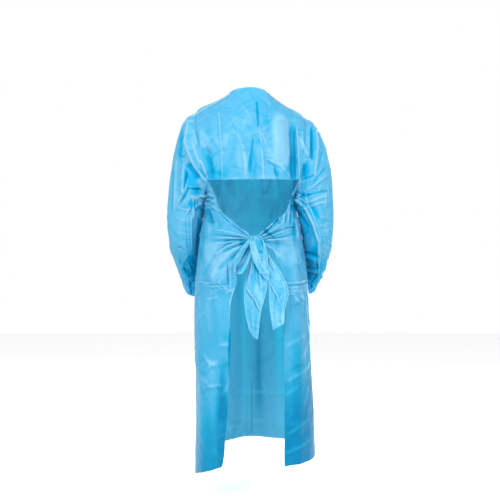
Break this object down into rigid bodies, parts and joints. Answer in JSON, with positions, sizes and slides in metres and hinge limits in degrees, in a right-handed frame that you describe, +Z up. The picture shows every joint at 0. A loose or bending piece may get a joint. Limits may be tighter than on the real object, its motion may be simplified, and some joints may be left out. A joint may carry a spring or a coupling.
{
  "type": "open-back gown",
  "caption": "Over-the-head film gown with long sleeves, a short back yoke and two back flaps tied in a half bow, worn-shaped and hollow, to cover a wearer's front and arms",
  "frame": {"origin": "At the nape, level with the back of the neckline and midway between the shoulders, where the wearer's shoulders hold the gown", "axes": "+X is towards the wearer's right, +Y towards the wearer's front and +Z up"},
  "size_m": [0.5877, 0.4366, 1.3265],
  "materials": {
    "front_film": "thin blue polyethylene film, smooth with packing folds and fine crumples",
    "yoke_film": "thin light blue polyethylene film, crisp and crumpled",
    "flap_film": "thin blue polyethylene film, gathered into pleats towards the tie",
    "sleeve_film": "thin blue polyethylene film with heat-sealed edges and elbow wrinkles",
    "tie_film": "thin blue polyethylene film strip, folded lengthwise, deeper blue where doubled"
  },
  "bodies": {
    "root": {"front_panel": "front_film", "back_yoke": "yoke_film", "back_flap_left": "flap_film", "back_flap_right": "flap_film", "sleeve_left": "sleeve_film", "sleeve_right": "sleeve_film", "tie_knot": "tie_film", "tie_bow_loop": "tie_film", "tie_front_tail": "tie_film", "tie_left_tail": "tie_film", "tie_right_tail": "tie_film"}
  },
  "joints": []
}
